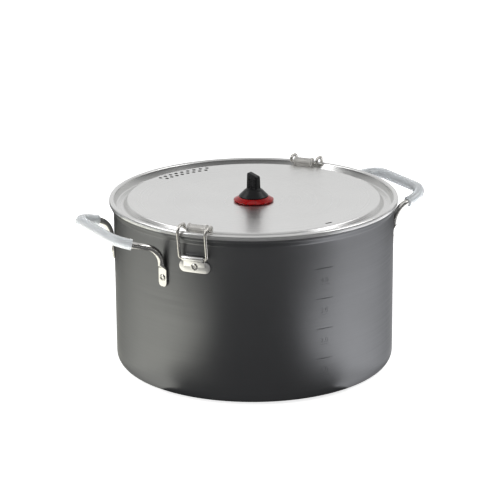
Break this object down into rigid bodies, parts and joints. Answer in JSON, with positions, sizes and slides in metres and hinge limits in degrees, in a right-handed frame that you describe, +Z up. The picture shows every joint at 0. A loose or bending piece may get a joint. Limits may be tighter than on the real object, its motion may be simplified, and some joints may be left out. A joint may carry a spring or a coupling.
{
  "type": "locking-lid stock pot",
  "caption": "Straight-sided cooking pot with a strainer lid, a central knob, looped wire side handles in soft sleeves, and swing-over wire bails that hold the lid down.",
  "frame": {"origin": "middle of the base, on the surface the pot stands on", "axes": "+Z up along the pot's axis, +X towards the right handle, -Y towards the side with the volume marks"},
  "size_m": [0.2946, 0.2358, 0.1586],
  "materials": {
    "anodised_pot": "hard anodised, satin",
    "spun_lid": "spun, satin",
    "grip_plastic": "moulded, textured",
    "skirt_red": "translucent red, gloss",
    "brass": "turned",
    "sleeve_silicone": "translucent silicone",
    "roller_clear": "translucent silicone",
    "handle_steel": "polished",
    "latch_steel": "polished",
    "wire_steel": "drawn, bright",
    "fastener_steel": "plated"
  },
  "bodies": {
    "root": {"pot_body": "anodised_pot", "left_handle_rod": "handle_steel", "right_handle_rod": "handle_steel", "left_handle_sleeve": "sleeve_silicone", "right_handle_sleeve": "sleeve_silicone", "left_handle_rivets": "fastener_steel", "right_handle_rivets": "fastener_steel", "front_latch_plate": "latch_steel", "back_latch_plate": "latch_steel", "front_latch_rivet": "fastener_steel", "back_latch_rivet": "fastener_steel"},
    "lid": {"lid": "spun_lid", "knob_grip": "grip_plastic", "knob_skirt": "skirt_red", "knob_insert": "brass", "knob_screw": "fastener_steel", "knob_washer": "fastener_steel"},
    "front_bail": {"front_latch_bail": "wire_steel"},
    "back_bail": {"back_latch_bail": "wire_steel"},
    "front_roller": {"front_latch_roller": "roller_clear"},
    "back_roller": {"back_latch_roller": "roller_clear"}
  },
  "joints": [
    {"name": "lid_lift", "type": "slide", "parent": "root", "child": "lid", "axis": [0, 0, 1], "range_m": [0, 0.16]},
    {"name": "front_bail_swing", "type": "hinge", "parent": "root", "child": "front_bail", "pos_m": [-0.09421, -0.06971, 0.11925], "axis": [0.5948, -0.8039, 0], "range_deg": [0, 165], "deforming": ["front_latch_roller"]},
    {"name": "back_bail_swing", "type": "hinge", "parent": "root", "child": "back_bail", "pos_m": [0.09421, 0.06971, 0.11925], "axis": [-0.5948, 0.8039, 0], "range_deg": [0, 165], "deforming": ["back_latch_roller"]},
    {"name": "front_roller_spin", "type": "hinge", "parent": "front_bail", "child": "front_roller", "pos_m": [-0.08682, -0.06424, 0.14015], "axis": [0.5948, -0.8039, 0], "continuous": true},
    {"name": "back_roller_spin", "type": "hinge", "parent": "back_bail", "child": "back_roller", "pos_m": [0.08682, 0.06424, 0.14015], "axis": [-0.5948, 0.8039, 0], "continuous": true}
  ]
}
